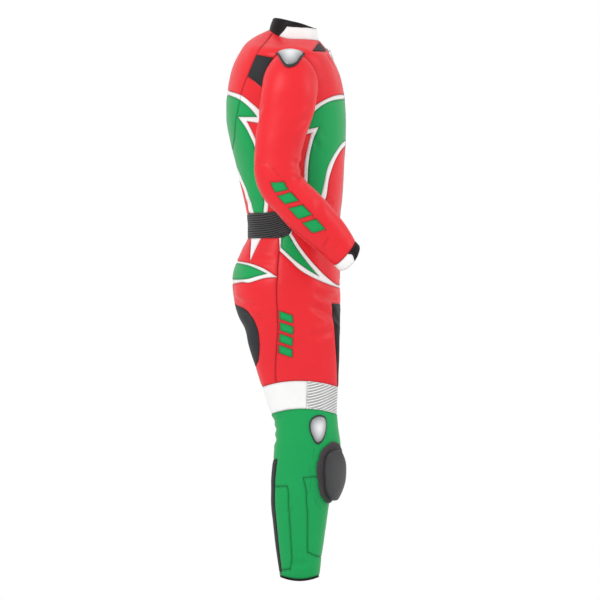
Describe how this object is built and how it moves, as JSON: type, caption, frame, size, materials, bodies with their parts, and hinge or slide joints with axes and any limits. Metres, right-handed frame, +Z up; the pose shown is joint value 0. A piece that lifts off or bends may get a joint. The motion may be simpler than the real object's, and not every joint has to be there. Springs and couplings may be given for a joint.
{
  "type": "motorcycle race suit",
  "caption": "One-piece motorcycle race suit in worn shape, hollow, with open neck, cuffs and hems, shoulder cups, knee sliders and a zip pull that swings.",
  "frame": {"origin": "middle of the wearer's shoulder line, where the shoulders hold the suit up", "axes": "+Z up, +X to the front of the suit, +Y to the wearer's left; the plane y = 0 halves the suit"},
  "size_m": [0.347, 0.6032, 1.4638],
  "materials": {
    "red_leather": "smooth red cowhide",
    "green_leather": "smooth green cowhide",
    "white_leather": "smooth white cowhide",
    "black_leather": "smooth black cowhide",
    "stretch_fabric": "woven aramid stretch",
    "accordion_fabric": "ribbed charcoal stretch leather",
    "silver_cup": "satin, with darker edges",
    "black_rubber": "matt",
    "slider_plastic": "lightly scuffed nylon",
    "slider_base": "loop fastener pile",
    "zip_tape": "woven tape",
    "zip_metal": "nickel plated"
  },
  "bodies": {
    "suit": {"back_centre": "red_leather", "back_leg_L": "red_leather", "back_leg_R": "red_leather", "back_side_L": "red_leather", "back_side_R": "red_leather", "calf_gusset_L": "stretch_fabric", "calf_gusset_R": "stretch_fabric", "calf_panel_L": "green_leather", "calf_panel_R": "green_leather", "collar_black": "black_leather", "collar_white_L": "white_leather", "collar_white_R": "white_leather", "cuff_black_L": "black_leather", "cuff_black_R": "black_leather", "cuff_tab_L": "white_leather", "cuff_tab_R": "white_leather", "front_L": "red_leather", "front_R": "red_leather", "front_leg_L": "red_leather", "front_leg_R": "red_leather", "front_zip": "zip_tape", "hem_band_L": "black_leather", "hem_band_R": "black_leather", "inner_thigh_L": "black_leather", "inner_thigh_R": "black_leather", "knee_accordion_L": "white_leather", "knee_accordion_R": "white_leather", "knee_band_L": "white_leather", "knee_band_R": "white_leather", "knee_cup_L": "silver_cup", "knee_cup_R": "silver_cup", "lower_leg_L": "green_leather", "lower_leg_R": "green_leather", "rear_thigh_stretch_L": "stretch_fabric", "rear_thigh_stretch_R": "stretch_fabric", "shin_panel_L": "green_leather", "shin_panel_R": "green_leather", "shoulder_cup_L": "silver_cup", "shoulder_cup_R": "silver_cup", "shoulder_rim_L": "black_rubber", "shoulder_rim_R": "black_rubber", "shoulder_stretch_L": "stretch_fabric", "shoulder_stretch_R": "stretch_fabric", "sleeve_inner_L": "red_leather", "sleeve_inner_R": "red_leather", "sleeve_outer_L": "red_leather", "sleeve_outer_R": "red_leather", "slider_base_L": "slider_base", "slider_base_R": "slider_base", "slider_puck_L": "slider_plastic", "slider_puck_R": "slider_plastic", "waist_accordion": "accordion_fabric", "zip_slider": "zip_metal"},
    "zip_pull_tab": {"zip_pull": "zip_metal"}
  },
  "joints": [
    {"name": "zip_pull_hinge", "type": "hinge", "parent": "suit", "child": "zip_pull_tab", "pos_m": [0.09853, 0, -0.00916], "axis": [0, -1, 0], "range_deg": [0, 150]}
  ]
}
